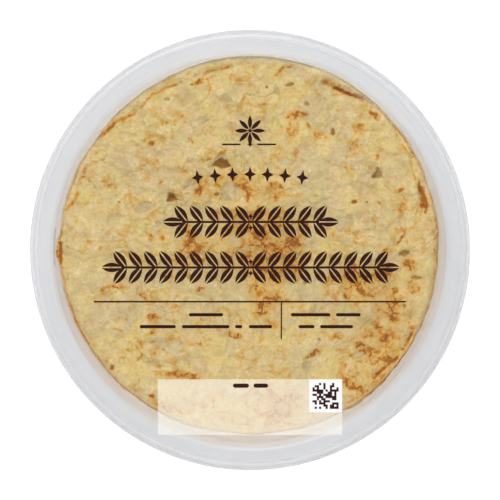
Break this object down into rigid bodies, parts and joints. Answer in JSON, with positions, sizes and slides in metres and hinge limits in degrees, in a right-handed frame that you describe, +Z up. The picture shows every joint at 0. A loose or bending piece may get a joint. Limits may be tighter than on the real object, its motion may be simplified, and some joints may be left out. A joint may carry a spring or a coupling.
{
  "type": "packaged spanish omelette",
  "caption": "Round thick potato omelette in a shallow translucent plastic tray with a wide flange, sealed under clear printed film.",
  "frame": {"origin": "centre of the ring that the tray stands on, at its lowest level", "axes": "+Z up through the film, +Y to the top of the print, +X to the right of the print"},
  "size_m": [0.2, 0.2, 0.0296],
  "materials": {
    "tray_plastic": "translucent frosted, softly glossy",
    "cooked_egg": "moist cooked egg and potato, browned in patches",
    "clear_film": "clear glossy film with dark brown print"
  },
  "bodies": {
    "root": {"tray": "tray_plastic", "omelette": "cooked_egg", "lid_film": "clear_film"}
  },
  "joints": []
}
